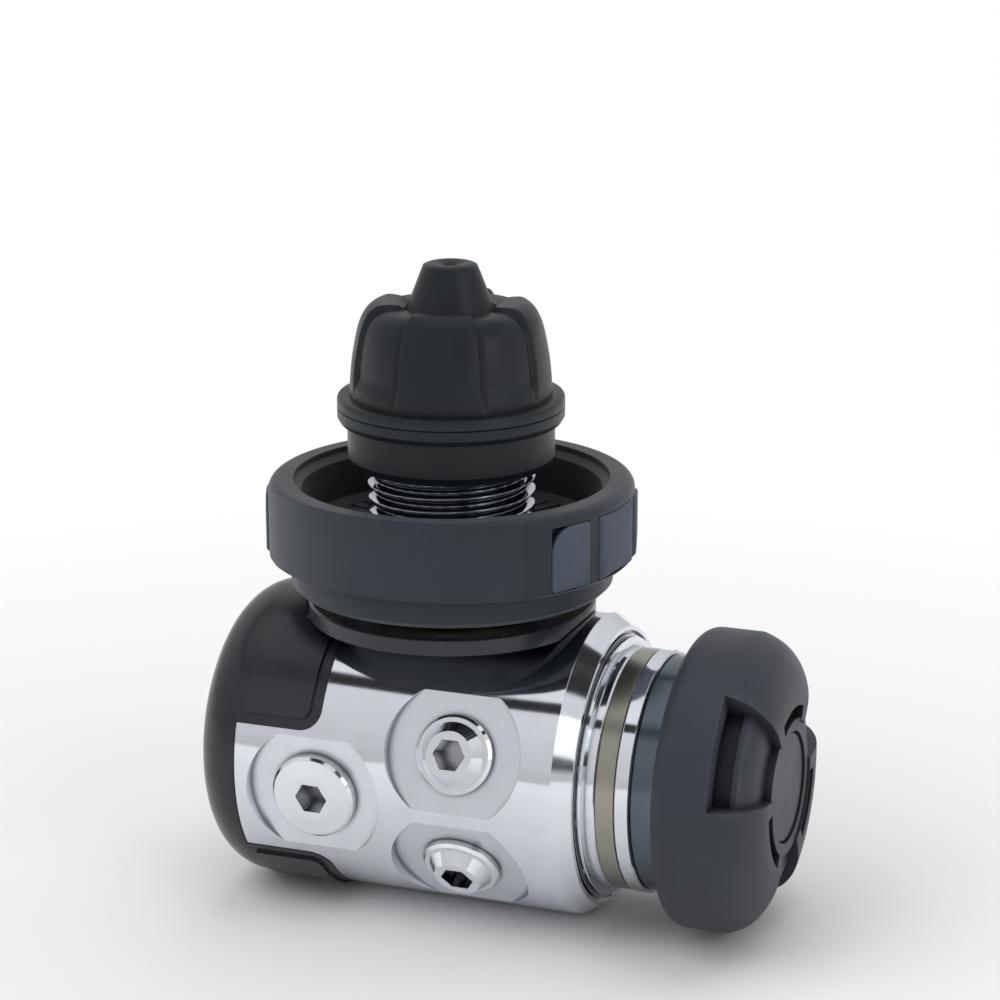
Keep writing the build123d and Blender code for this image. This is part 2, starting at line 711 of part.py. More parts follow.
plunger_face = HOUSING_FRONT - FIT
with BuildPart() as pressure_plunger:
    with BuildSketch(SIDE):
        head_rear = plunger_face - PLUNGER_GAP - PLUNGER_HEAD
        outline(
            (pad_front + PAD_BOSS + FIT, 0),
            (plunger_face - PLUNGER_GAP, 0),
            (plunger_face - PLUNGER_GAP, PLUNGER_HEAD_R),
            (head_rear, PLUNGER_HEAD_R),
            (head_rear, PLUNGER_R),
            (pad_front + PAD_BOSS + FIT, PLUNGER_R),
        )
    revolve(axis=BARREL_AXIS)
pressure_plunger.part.label = "pressure_plunger"

outer_front = HOUSING_FRONT + FIT + OUTER_DIAPHRAGM_THICK
with BuildPart() as outer_diaphragm:
    with BuildSketch(SIDE):
        block(HOUSING_FRONT + FIT, 0, outer_front, HOUSING_NOSE_R)
    revolve(axis=BARREL_AXIS)
outer_diaphragm.part.label = "outer_diaphragm"

with BuildPart() as clamp_ring:
    with BuildSketch(SIDE):
        outline(
            (HOUSING_BAND_FRONT + FIT, HOUSING_NOSE_R + FIT),
            (outer_front + FIT, HOUSING_NOSE_R + FIT),
            (outer_front + FIT, CLAMP_LIP_R),
            (outer_front + FIT + CLAMP_LIP, CLAMP_LIP_R),
            (outer_front + FIT + CLAMP_LIP, HOUSING_NOSE_R),
            (CLAMP_FRONT, HOUSING_NOSE_R),
            (CLAMP_FRONT, CLAMP_R - HOUSING_BEVEL),
            (CLAMP_FRONT - HOUSING_BEVEL, CLAMP_R),
            (CLAMP_SHOULDER, CLAMP_R),
            (CLAMP_SHOULDER, CLAMP_NECK_R),
            (HOUSING_BAND_FRONT + FIT, CLAMP_NECK_R),
        )
    revolve(axis=BARREL_AXIS)
clamp_ring.part.label = "clamp_ring"

# ---- the end cap: three raised lobes, three windows and a medallion ----
lobe_step = 360 / LOBES
window_angle = lobe_step - LOBE_ANGLE
cap_inner_r = CLAMP_R + FIT
ring_inner_r = MEDALLION_R + FIT
with BuildPart() as end_cap:
    with BuildSketch(SIDE):
        with BuildLine():
            Polyline(
                (CAP_REAR, CAP_R - CAP_REAR_BEVEL),
                (CAP_REAR, cap_inner_r),
                (CLAMP_FRONT + FIT, cap_inner_r),
                (CLAMP_FRONT + FIT, CAP_HOLLOW_R),
                (CAP_FLOOR_X - CAP_WALL, CAP_HOLLOW_FLAT_R),
                (CAP_FLOOR_X - CAP_WALL, 0),
                (CAP_FLOOR_X, 0),
                (CAP_FLOOR_X, ring_inner_r),
                (CAP_RING_X, ring_inner_r),
                (CAP_RING_X, RING_OUTER_R),
                (CAP_FLOOR_X, RING_OUTER_R),
                (CAP_FLOOR_X, CAP_FLAT_R),
            )
            Spline(
                (CAP_FLOOR_X, CAP_FLAT_R),
                (CAP_FLOOR_X - CAP_SHOULDER_DROP, CAP_SHOULDER_R - FLOOR_INSET),
                (CAP_FLOOR_X - CAP_CORNER_DROP, CAP_CORNER_R - FLOOR_INSET),
                (CAP_SIDE_FRONT, CAP_R),
                tangents=((0, 1), CAP_EDGE_RUN),
            )
            Line((CAP_SIDE_FRONT, CAP_R), (CAP_REAR + CAP_REAR_BEVEL, CAP_R))
            ThreePointArc(
                (CAP_REAR + CAP_REAR_BEVEL, CAP_R),
                (CAP_REAR + corner_sag * CAP_REAR_BEVEL, CAP_R - corner_sag * CAP_REAR_BEVEL),
                (CAP_REAR, CAP_R - CAP_REAR_BEVEL),
            )
        make_face()
    revolve(axis=BARREL_AXIS)
    for index in range(LOBES):
        first = LOBE_CENTRE - LOBE_ANGLE / 2 + index * lobe_step
        with BuildSketch(barrel_plane(first)):
            with BuildLine():
                Spline(
                    (CAP_LOBE_X, CAP_FLAT_R),
                    (CAP_LOBE_X - CAP_SHOULDER_DROP, CAP_SHOULDER_R),
                    (CAP_LOBE_X - CAP_CORNER_DROP, CAP_CORNER_R),
                    (CAP_SIDE_FRONT, CAP_R),
                    tangents=((0, 1), CAP_EDGE_RUN),
                )
                Polyline(
                    (CAP_SIDE_FRONT, CAP_R),
                    (CAP_SIDE_FRONT - 1, CAP_R - 2),
                    (CAP_FLOOR_X - CAP_WALL / 2, RING_OUTER_R),
                    (CAP_LOBE_X, RING_OUTER_R),
                    (CAP_LOBE_X, CAP_FLAT_R),
                )
            make_face()
        revolve(axis=BARREL_AXIS, revolution_arc=-LOBE_ANGLE)
        for rear, low_r, front, high_r in (
            (WINDOW_NOTCH_X, WINDOW_NOTCH_R, CAP_LOBE_X, CAP_R + 1),
            (CLAMP_FRONT, WINDOW_SLOT_R, WINDOW_SLOT_FRONT, WINDOW_SLOT_OUTER_R),
        ):
            with BuildSketch(barrel_plane(first - window_angle)):
                block(rear, low_r, front, high_r)
            revolve(axis=BARREL_AXIS, revolution_arc=-window_angle, mode=Mode.SUBTRACT)
        slot_start = LOBE_CENTRE - CRESCENT_ANGLE / 2 + index * lobe_step
        with BuildSketch(barrel_plane(slot_start)):
            block(
                CAP_LOBE_X - CRESCENT_DEPTH,
                CRESCENT_R - CRESCENT_WIDTH / 2,
                CAP_LOBE_X + 1,
                CRESCENT_R + CRESCENT_WIDTH / 2,
            )
        revolve(axis=BARREL_AXIS, revolution_arc=-CRESCENT_ANGLE, mode=Mode.SUBTRACT)
end_cap.part.label = "end_cap"

with BuildPart() as cap_medallion:
    with BuildSketch(station(CAP_FLOOR_X + FIT)):
        Circle(MEDALLION_R)
    extrude(amount=MEDALLION_THICK)
    chamfer(cap_medallion.edges().group_by(Axis.X)[-1], MEDALLION_BEVEL)
cap_medallion.part.label = "cap_medallion"

# ---- the fixed part of the DIN connector ----
with BuildPart() as inlet_collar:
    with BuildSketch(level(INLET_COLLAR_BASE)):
        Circle(INLET_COLLAR_R)
        Circle(BOSS_R + FIT, mode=Mode.SUBTRACT)
    extrude(amount=INLET_COLLAR_TOP - INLET_COLLAR_BASE)
    top_edges = inlet_collar.edges().group_by(Axis.Z)[-1]
    chamfer(top_edges.sort_by(SortBy.RADIUS)[-1], INLET_COLLAR_BEVEL)
    with BuildSketch(station(-INLET_COLLAR_R - 1)):
        Circle(boot_r + FIT)
    extrude(amount=2 * INLET_COLLAR_R + 2, mode=Mode.SUBTRACT)
inlet_collar.part.label = "inlet_collar"

connector_base = INLET_BORE_END + 1
flange_base = BOSS_TOP + FIT
flange_top = flange_base + FLANGE_THICK
seal_groove_r = INLET_THREAD_R - 2 * CONNECTOR_SEAL_WIRE
face_groove_floor = SEAT_HEIGHT - SEAL_GROOVE_DEPTH
with BuildPart() as din_connector:
    with BuildSketch(SIDE):
        outline(
            (GAS_WAY_R, connector_base),
            (INLET_THREAD_R - FIT, connector_base),
            (INLET_THREAD_R - FIT, flange_base),
            (FLANGE_R, flange_base),
            (FLANGE_R, flange_top),
            (STEM_TUBE_R, flange_top),
            (STEM_TUBE_R, HEAD_BASE),
            (HEAD_R, HEAD_BASE),
            (HEAD_R, SEAT_HEIGHT - 0.3),
            (HEAD_R - 0.3, SEAT_HEIGHT),
            (CONNECTOR_BORE_R, SEAT_HEIGHT),
            (CONNECTOR_BORE_R, CONNECTOR_BORE_BASE),
            (GAS_WAY_R, CONNECTOR_BORE_BASE),
        )
    revolve(axis=DIN_AXIS)
    with BuildSketch(SIDE):
        half = CONNECTOR_SEAL_WIRE + FIT
        low = CONNECTOR_SEAL_HEIGHT - half
        block(seal_groove_r, low, INLET_THREAD_R, low + 2 * half)
        left = FACE_SEAL_R - FACE_GROOVE_HALF
        block(left, face_groove_floor, left + 2 * FACE_GROOVE_HALF, SEAT_HEIGHT)
        clip_base = CLIP_TOP - CLIP_THICK
        block(0, clip_base, CONNECTOR_BORE_R + CLIP_DEPTH, CLIP_TOP)
    revolve(axis=DIN_AXIS, mode=Mode.SUBTRACT)
din_connector.part.label = "din_connector"

with BuildPart() as connector_seal:
    with Locations(level(CONNECTOR_SEAL_HEIGHT)):
        Torus(INLET_THREAD_R - CONNECTOR_SEAL_WIRE, CONNECTOR_SEAL_WIRE - FIT)
connector_seal.part.label = "connector_seal"

with BuildPart() as face_seal:
    with Locations(level(face_groove_floor + FACE_SEAL_WIRE + FIT)):
        Torus(FACE_SEAL_R, FACE_SEAL_WIRE)
face_seal.part.label = "face_seal"

with BuildPart() as inlet_filter:
    lip_base = FILTER_TOP - FILTER_LIP
    with BuildSketch(SIDE):
        outline(
            (0, FILTER_TIP),
            (FILTER_TIP_R, FILTER_TIP),
            (CONNECTOR_BORE_R - 2 * FIT - 0.4, lip_base),
            (CONNECTOR_BORE_R - FIT, lip_base),
            (CONNECTOR_BORE_R - FIT, FILTER_TOP),
            (CONNECTOR_BORE_R - FILTER_WALL - 0.4, FILTER_TOP),
            (FILTER_TIP_R - FILTER_WALL, FILTER_TIP + FILTER_WALL),
            (0, FILTER_TIP + FILTER_WALL),
        )
    revolve(axis=DIN_AXIS)
inlet_filter.part.label = "inlet_filter"

with BuildPart() as filter_clip:
    clip_outer = CONNECTOR_BORE_R + CLIP_DEPTH - FIT
    with BuildSketch(SIDE):
        block(clip_outer - CLIP_WIDTH, clip_base + FIT, clip_outer, CLIP_TOP - FIT)
    revolve(axis=DIN_AXIS)
filter_clip.part.label = "filter_clip"

# ---- what turns on the connector: threaded stud, handwheel, collar and grip pads ----
stud_bore = STEM_TUBE_R + RUNNING
with BuildPart() as din_stud:
    with BuildSketch(SIDE):
        outline(
            (stud_bore, STUD_BASE),
            (HUB_R, STUD_BASE),
            (HUB_R, WHEEL_FLOOR),
            (STUD_RELIEF_R, WHEEL_FLOOR),
            (STUD_RELIEF_R, WHEEL_FLOOR + STUD_RELIEF),
            (DIN_THREAD_R, WHEEL_FLOOR + STUD_RELIEF + STUD_LEAD),
            (DIN_THREAD_R, STUD_TOP - STUD_LEAD),
            (STUD_RELIEF_R, STUD_TOP),
            (stud_bore, STUD_TOP),
        )
    revolve(axis=DIN_AXIS)
din_stud.part.label = "din_stud"


grip_sectors = [
    (din_plane(WHEEL_TURN + side + start), width)
    for side in (0, 180)
    for start, width in GRIP_PADS
]
flat_offset = WHEEL_FLAT_R - WHEEL_HALF_DEPTH
with BuildPart() as handwheel:
    with BuildSketch(SIDE):
        with BuildLine():
            Polyline(
                (WHEEL_R - WHEEL_TOP_ROUND, WHEEL_TOP),
                (0, WHEEL_TOP),
                (0, WHEEL_BASE),
                (WHEEL_R - WHEEL_LOW_BEVEL, WHEEL_BASE),
                (WHEEL_R, WHEEL_BASE + WHEEL_LOW_BEVEL),
                (WHEEL_R, WHEEL_TOP - WHEEL_TOP_ROUND),
            )
            RadiusArc(
                (WHEEL_R - WHEEL_TOP_ROUND, WHEEL_TOP),
                (WHEEL_R, WHEEL_TOP - WHEEL_TOP_ROUND),
                WHEEL_TOP_ROUND,
            )
        make_face()
    revolve(axis=DIN_AXIS)
    for offset in (flat_offset, -flat_offset):
        with BuildSketch(level(WHEEL_BASE, WHEEL_TURN)):
            with Locations((0, offset)):
                Circle(WHEEL_FLAT_R)
        extrude(amount=WHEEL_TOP - WHEEL_BASE, mode=Mode.INTERSECT)
    with BuildSketch(SIDE):
        outline(
            (0, WHEEL_FLOOR),
            (CUP_R - 1, WHEEL_FLOOR),
            (CUP_R, WHEEL_FLOOR + 1),
            (CUP_R, WHEEL_TOP - RIM_LEDGE_DEPTH),
            (RIM_LEDGE_R, WHEEL_TOP - RIM_LEDGE_DEPTH / 2),
            (RIM_LEDGE_R, WHEEL_TOP + 1),
            (0, WHEEL_TOP + 1),
        )
    revolve(axis=DIN_AXIS, mode=Mode.SUBTRACT)
    with BuildSketch(level(WHEEL_BASE)):
        Circle(HUB_R + FIT)
    extrude(amount=WHEEL_TOP - WHEEL_BASE, mode=Mode.SUBTRACT)
    pocket_floor = WHEEL_R - PAD_POCKET
    for plane, width in grip_sectors:
        with BuildSketch(plane):
            block(pocket_floor - FIT, PAD_BASE - FIT, PAD_OUTER_R + 1, PAD_TOP + FIT)
        revolve(axis=DIN_AXIS, revolution_arc=width, mode=Mode.SUBTRACT)
handwheel.part.label = "handwheel"

with BuildPart() as grip_pads:
    for plane, width in grip_sectors:
        with BuildSketch(plane):
            block(pocket_floor, PAD_BASE, PAD_OUTER_R, PAD_TOP)
        revolve(axis=DIN_AXIS, revolution_arc=width)
grip_pads.part.label = "grip_pads"

with BuildPart() as wheel_collar:
    with BuildSketch(SIDE):
        outline(
            (HUB_R + FIT, STUD_BASE),
            (COLLAR_R - COLLAR_BEVEL, STUD_BASE),
            (COLLAR_R, STUD_BASE + COLLAR_BEVEL),
            (COLLAR_R, WHEEL_BASE),
            (HUB_R + FIT, WHEEL_BASE),
        )
    revolve(axis=DIN_AXIS)
wheel_collar.part.label = "wheel_collar"

# ---- the dust cap on the stud ----
cap_bore_r = DIN_THREAD_R + CAP_BORE_GAP
with BuildPart() as dust_cap_skirt:
    with BuildSketch(SIDE):
        outline(
            (cap_bore_r, SKIRT_BASE),
            (SKIRT_R - SKIRT_ROUND, SKIRT_BASE),
            (SKIRT_R - SKIRT_ROUND * 0.3, SKIRT_BASE + SKIRT_ROUND * 0.3),
            (SKIRT_R, SKIRT_BASE + SKIRT_ROUND),
            (SKIRT_R, FLANGE_LOW),
            (CAP_FLANGE_R - 0.4, FLANGE_LOW + 0.1),
            (CAP_FLANGE_R, FLANGE_LOW + 0.8),
            (CAP_FLANGE_R, CAP_SEAM - 0.1),
            (CAP_FLANGE_R - 0.1, CAP_SEAM),
            (cap_bore_r, CAP_SEAM),
        )
    revolve(axis=DIN_AXIS)
dust_cap_skirt.part.label = "dust_cap_skirt"

liner_top = LINER_BASE + LINER_THICK
with BuildPart() as dust_cap:
    with BuildSketch(SIDE):
        with BuildLine():
            Polyline(
                (LINER_R + GAP, CAP_SEAM + FIT),
                (CAP_FLANGE_R - 0.1, CAP_SEAM + FIT),
                (CAP_FLANGE_R, CAP_SEAM + FIT + 0.1),
                (CAP_FLANGE_R, CAP_FLANGE_TOP - 0.4),
                (CAP_FLANGE_R - 0.4, CAP_FLANGE_TOP),
                (DOME_BASE_R, CAP_FLANGE_TOP),
            )
            ThreePointArc(
                (DOME_BASE_R, CAP_FLANGE_TOP),
                (DOME_BASE_R - 0.65, (CAP_FLANGE_TOP + DOME_SHOULDER) / 2),
                (DOME_TOP_R, DOME_SHOULDER),
            )
            ThreePointArc(
                (DOME_TOP_R, DOME_SHOULDER),
                (DOME_TOP_R - 0.75, CROWN_TOP - 0.5),
                (DOME_TOP_R - DOME_ROUND - 0.6, CROWN_TOP),
            )
            Polyline(
                (DOME_TOP_R - DOME_ROUND - 0.6, CROWN_TOP),
                (CONE_BASE_R + 1.2, CROWN_TOP),
                (CONE_BASE_R, CONE_FOOT),
                (CONE_TOP_R + 0.3, CONE_TOP - 0.8),
                (CONE_TOP_R - 0.5, CONE_TOP),
                (DIMPLE_R, CONE_TOP),
                (0, CONE_TOP - DIMPLE_DEPTH),
                (0, CAP_CAVITY_TOP),
                (CAP_CAVITY_R - 2, CAP_CAVITY_TOP),
                (CAP_CAVITY_R, liner_top + GAP),
                (LINER_R + GAP, liner_top + GAP),
                (LINER_R + GAP, CAP_SEAM + FIT),
            )
        make_face()
    revolve(axis=DIN_AXIS)
    for index in range(PANELS):
        middle = RIB_CENTRE - 90 + (index + 0.5) * 360 / PANELS
        with BuildSketch(din_plane(middle - PANEL_ANGLE / 2)):
            outline(
                (DOME_BASE_R - PANEL_DEPTH, PANEL_BASE),
                (DOME_BASE_R + 2, PANEL_BASE),
                (DOME_BASE_R + 2, PANEL_TOP),
                (DOME_TOP_R - PANEL_DEPTH / 3, PANEL_TOP),
                (DOME_BASE_R - 0.6 - PANEL_DEPTH, (PANEL_BASE + PANEL_TOP) / 2),
            )
        revolve(axis=DIN_AXIS, revolution_arc=PANEL_ANGLE, mode=Mode.SUBTRACT)
dust_cap.part.label = "dust_cap"

with BuildPart() as cap_liner:
    with BuildSketch(SIDE):
        block(0, LINER_BASE, LINER_R, liner_top)
    revolve(axis=DIN_AXIS)
cap_liner.part.label = "cap_liner"

for piece in (
    main_body.part,
    rear_boot.part,
    high_pressure_plugs,
    low_pressure_plugs,
    high_pressure_seals,
    low_pressure_seals,
    balance_plug.part,
    balance_plug_seal.part,
    balance_stem_seal.part,
    poppet.part,
    poppet_spring.part,
    crown_orifice.part,
    crown_seal.part,
    lifter.part,
    diaphragm.part,
    friction_washer.part,
    spring_pad.part,
    main_spring.part,
    adjuster_nut.part,
    spring_housing.part,
    accent_ring.part,
    pressure_plunger.part,
    outer_diaphragm.part,
    clamp_ring.part,
    end_cap.part,
    cap_medallion.part,
    inlet_collar.part,
    din_connector.part,
    connector_seal.part,
    face_seal.part,
    inlet_filter.part,
    filter_clip.part,
    din_stud.part,
    handwheel.part,
    grip_pads.part,
    wheel_collar.part,
    dust_cap_skirt.part,
    dust_cap.part,
    cap_liner.part,
):
    export_step(piece, f"parts/{piece.label}.step")
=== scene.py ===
"""Looks of a scuba regulator first stage: finishes, cut thread, grip pads, vent ribs, stage.

Everything is in metres in the part's own frame: +Z up the DIN inlet, +X along the barrel.
"""

import json
import math

import bmesh
import bpy
from mathutils import Matrix, Vector


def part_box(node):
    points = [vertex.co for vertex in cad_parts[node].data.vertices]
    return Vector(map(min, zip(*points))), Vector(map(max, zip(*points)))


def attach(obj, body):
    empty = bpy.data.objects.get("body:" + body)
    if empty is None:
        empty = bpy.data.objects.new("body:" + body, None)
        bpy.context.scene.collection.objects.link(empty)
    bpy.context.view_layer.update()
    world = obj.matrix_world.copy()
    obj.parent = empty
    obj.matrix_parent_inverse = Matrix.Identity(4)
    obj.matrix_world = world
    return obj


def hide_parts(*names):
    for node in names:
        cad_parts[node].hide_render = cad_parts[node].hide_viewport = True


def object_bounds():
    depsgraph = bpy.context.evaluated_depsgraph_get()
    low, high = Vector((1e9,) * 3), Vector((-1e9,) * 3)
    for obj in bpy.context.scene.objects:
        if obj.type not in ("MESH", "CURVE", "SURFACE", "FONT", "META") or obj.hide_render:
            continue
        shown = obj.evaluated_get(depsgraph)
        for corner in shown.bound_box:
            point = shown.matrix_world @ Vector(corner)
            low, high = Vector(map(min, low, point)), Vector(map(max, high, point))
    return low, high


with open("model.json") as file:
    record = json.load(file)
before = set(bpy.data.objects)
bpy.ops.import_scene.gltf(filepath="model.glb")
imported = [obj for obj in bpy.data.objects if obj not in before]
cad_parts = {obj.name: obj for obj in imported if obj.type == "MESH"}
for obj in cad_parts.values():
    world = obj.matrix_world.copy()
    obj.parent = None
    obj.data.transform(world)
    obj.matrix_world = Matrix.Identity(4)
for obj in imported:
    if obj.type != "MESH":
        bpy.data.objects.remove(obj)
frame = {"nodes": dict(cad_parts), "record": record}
CAD_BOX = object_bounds()

bl_info = {
    "name": "First stage regulator",
    "version": (1, 0, 0),
    "blender": (4, 5, 0),
    "location": "View3D > Sidebar > Regulator",
    "description": "Builds the looks of a diaphragm first stage around its engineering frame",
    "category": "Object",
}

MM = 0.001
# The studio as polished metal sees it: height above the horizon and brightness of each band,
# and the direction of one dark card to the right.
SKY_BANDS = (
    (0.0, 0.62),
    (0.35, 0.74),
    (0.755, 0.84),
    (0.765, 0.03),
    (0.835, 0.03),
    (0.845, 0.95),
    (1.0, 0.9),
)
DARK_CARD = (0.684, -0.632, 0.364)
# Painted shade: the near-black that the chrome's colour turns to in hollows found by the occlusion
# lookup.
PAINTED_SHADE_COLOUR = "#1C1E21"
MOTTLE_SIZE = 7.0  # mm, blotches in moulded skins
SEAT_FACING = 0.9996  # cosine within which a face counts as a port's flat seat
PORT_LEVELS = (-6.2, 17.55, -33.55)  # degrees up from level, of the ports' seats
PAD_R = 25.4  # mm, outside of the grip pads
PAD_THICK = 1.4
SHARP_CORNER = 0.5
BIG_CORNER = 3.4
# First angle and width of each pad, and its corners from the upper far one, upper near one on.
PADS = (
    (-37.0, 15.0, (SHARP_CORNER, BIG_CORNER, SHARP_CORNER, SHARP_CORNER)),
    (-17.5, 23.0, (SHARP_CORNER, SHARP_CORNER, SHARP_CORNER, SHARP_CORNER)),
    (10.0, 15.0, (BIG_CORNER, SHARP_CORNER, SHARP_CORNER, SHARP_CORNER)),
)
RIB_TURN = 76.0  # degrees from +X back to the middle of a rib of the dust cap
BARREL_Z = sum(corner.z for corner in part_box("spring_housing")) / 2


# ---- sizes and colours a user would change ----
class RegulatorSizes(bpy.types.PropertyGroup):
    """Sizes of the pieces that are modelled here."""

    thread_pitch: bpy.props.FloatProperty(
        name="Thread pitch",
        description="Distance from crest to crest of the DIN stud's thread",
        default=1.814 * MM,
        unit="LENGTH",
    )
    thread_depth: bpy.props.FloatProperty(
        name="Thread depth",
        description="Crest to root of the DIN stud's thread",
        default=0.98 * MM,
        unit="LENGTH",
    )
    pad_rounding: bpy.props.FloatProperty(
        name="Pad rounding",
        description="Radius of the grip pads' edges",
        default=0.55 * MM,
        unit="LENGTH",
    )
    edge_rounding: bpy.props.FloatProperty(
        name="Edge rounding",
        description="How softly machined and moulded edges catch the light",
        default=0.16 * MM,
        unit="LENGTH",
    )
    rib_height: bpy.props.FloatProperty(
        name="Rib height",
        description="Relief of the radial ribs on the floor of the handwheel",
        default=0.25 * MM,
        unit="LENGTH",
    )
    vent_ribs: bpy.props.IntProperty(
        name="Vent ribs",
        description="Ribs in each window of the end cap",
        default=9,
        min=3,
    )


class RegulatorColours(bpy.types.PropertyGroup):
    """sRGB hex colours of the finishes."""

    chrome: bpy.props.StringProperty(
        name="Chrome", description="Bright chrome plate", default="#DDE1E8"
    )
    champagne: bpy.props.StringProperty(
        name="Champagne", description="Anodised accent ring", default="#9C9A90"
    )
    steel: bpy.props.StringProperty(
        name="Dark steel", description="Clamp ring behind the end cap", default="#5C6670"
    )
    cap: bpy.props.StringProperty(
        name="End cap", description="Charcoal nylon", default="#33373F"
    )
    boot: bpy.props.StringProperty(
        name="Boot", description="Black boot rubber", default="#161A21"
    )
    wheel: bpy.props.StringProperty(
        name="Handwheel", description="Blue-grey over-moulded rubber", default="#1F262E"
    )
    pads: bpy.props.StringProperty(
        name="Grip pads", description="Lighter grey grip rubber", default="#4B5362"
    )
    dust_cap: bpy.props.StringProperty(
        name="Dust cap", description="Black moulded cap", default="#151B21"
    )


def sizes():
    """The sizes on the scene."""
    return bpy.context.scene.regulator_sizes


def colours():
    """The colours on the scene."""
    return bpy.context.scene.regulator_colours


# ---- materials ----
def linear(text):
    """sRGB hex to a linear colour with full alpha."""
    channels = [int(text[i : i + 2], 16) / 255 for i in (1, 3, 5)]
    bent = [c / 12.92 if c <= 0.04045 else ((c + 0.055) / 1.055) ** 2.4 for c in channels]
    return (*bent, 1.0)


def shade(text, factor):
    """The same colour, lighter above one or darker below it."""
    red, green, blue, alpha = linear(text)
    return (min(red * factor, 1), min(green * factor, 1), min(blue * factor, 1), alpha)


def add(tree, kind, inputs=None, **settings):
    """One node with its settings, its values and what feeds it."""
    made = tree.nodes.new(kind)
    for name, value in settings.items():
        setattr(made, name, value)
    for name, value in (inputs or {}).items():
        if isinstance(value, bpy.types.NodeSocket):
            tree.links.new(value, made.inputs[name])
        else:
            made.inputs[name].default_value = value
    return made


def per_mm(size):
    """Texture scale, in metres of object space, at which a pattern is about this many mm."""
    return 1 / (size * MM)


def start(name, **shader):
    """A new material with its shader's plain values, its tree and its object coordinates."""
    made = bpy.data.materials.new(name)
    made.use_nodes = True
    tree = made.node_tree
    tree.nodes.clear()
    bsdf = add(tree, "ShaderNodeBsdfPrincipled", shader)
    output = add(tree, "ShaderNodeOutputMaterial")
    tree.links.new(bsdf.outputs["BSDF"], output.inputs["Surface"])
    place = add(tree, "ShaderNodeTexCoord")
    return made, tree, bsdf, place


def noise(tree, vector, size, detail=2.0, rough=0.5):
    """Value of a noise whose blotches are about this many mm."""
    return add(
        tree,
        "ShaderNodeTexNoise",
        {"Vector": vector, "Scale": per_mm(size), "Detail": detail, "Roughness": rough},
    ).outputs["Fac"]


def between(tree, value, low, high, start_at=0.3, end_at=0.7):
    """A value carried from one range to another."""
    return add(
        tree,
        "ShaderNodeMapRange",
        {"Value": value, "From Min": start_at, "From Max": end_at, "To Min": low, "To Max": high},
    ).outputs["Result"]


def mixed(tree, factor, first, second):
    """Colour mix node that takes colours or sockets at either end."""
    node = tree.nodes.new("ShaderNodeMix")
    node.data_type = "RGBA"
    for socket, value in ((node.inputs[0], factor), (node.inputs[6], first), (node.inputs[7], second)):
        if isinstance(value, bpy.types.NodeSocket):
            tree.links.new(value, socket)
        else:
            socket.default_value = value
    return node.outputs[2]


def relief(tree, height, depth):
    """Bump of this many mm, on top of edges that are rounded a little."""
    rounding = {"Radius": sizes().edge_rounding}
    soft = add(tree, "ShaderNodeBevel", rounding, samples=4).outputs["Normal"]
    return add(
        tree,
        "ShaderNodeBump",
        {"Height": height, "Distance": depth * MM, "Normal": soft, "Strength": 1.0},
    ).outputs["Normal"]


def sky_share(tree, reach, samples):
    """How much of the sky a point sees within this many mm, from none to all."""
    distance = {"Distance": reach * MM}
    return add(tree, "ShaderNodeAmbientOcclusion", distance, samples=samples).outputs["AO"]


def moulded(name, hexa, roughness, grain, depth, wear=1.5, sheen=0.0, gloss=0.3):
    """Moulded plastic or rubber: grain in mm, faint mottling, edges rubbed lighter, painted shade in
    recesses.
    """
    made, tree, bsdf, place = start(name, IOR=1.5, Metallic=0.0)
    bsdf.inputs["Specular IOR Level"].default_value = gloss
    if sheen:
        bsdf.inputs["Sheen Weight"].default_value = sheen
        bsdf.inputs["Sheen Roughness"].default_value = 0.5
    spot = place.outputs["Object"]
    blotch = noise(tree, spot, MOTTLE_SIZE, 4.0, 0.6)
    fine = noise(tree, spot, grain, 3.0, 0.65)
    edge = add(tree, "ShaderNodeNewGeometry").outputs["Pointiness"]
    worn = between(tree, edge, 0.0, 1.0, 0.52, 0.62)
    base = mixed(tree, between(tree, blotch, 0.0, 1.0), shade(hexa, 0.86), shade(hexa, 1.14))
    skin = mixed(tree, worn, base, shade(hexa, wear))
    # Painted shade: the skin darkens to a fifth of its colour in hollows the occlusion lookup finds
    # within 3 mm.
    painted_hollow_shade = between(tree, sky_share(tree, 3, 4), 0.0, 1.0, 0.25, 0.85)
    tree.links.new(mixed(tree, painted_hollow_shade, shade(hexa, 0.2), skin), bsdf.inputs["Base Color"])
    tree.links.new(
        between(tree, blotch, roughness - 0.05, roughness + 0.06), bsdf.inputs["Roughness"]
    )
    tree.links.new(relief(tree, fine, depth), bsdf.inputs["Normal"])
    return made


def turned(name, hexa, roughness, axis, pitch, depth, spread=0.04):
    """Metal turned on a lathe: rings of tool marks across an axis, and a faint haze."""
    made, tree, bsdf, place = start(name, Metallic=1.0)
    stretched = add(
        tree,
        "ShaderNodeMapping",
        {"Vector": place.outputs["Object"], "Scale": [1.0 if a == axis else 0.02 for a in "XYZ"]},
    ).outputs["Vector"]
    marks = noise(tree, stretched, pitch, 3.0, 0.7)
    haze = noise(tree, place.outputs["Object"], 6.0, 4.0, 0.6)
    tree.links.new(
        mixed(tree, between(tree, haze, 0.0, 1.0), shade(hexa, 0.93), shade(hexa, 1.05)),
        bsdf.inputs["Base Color"],
    )
    tree.links.new(
        between(tree, marks, roughness, roughness + spread), bsdf.inputs["Roughness"]
    )
    tree.links.new(relief(tree, marks, depth), bsdf.inputs["Normal"])
    return made


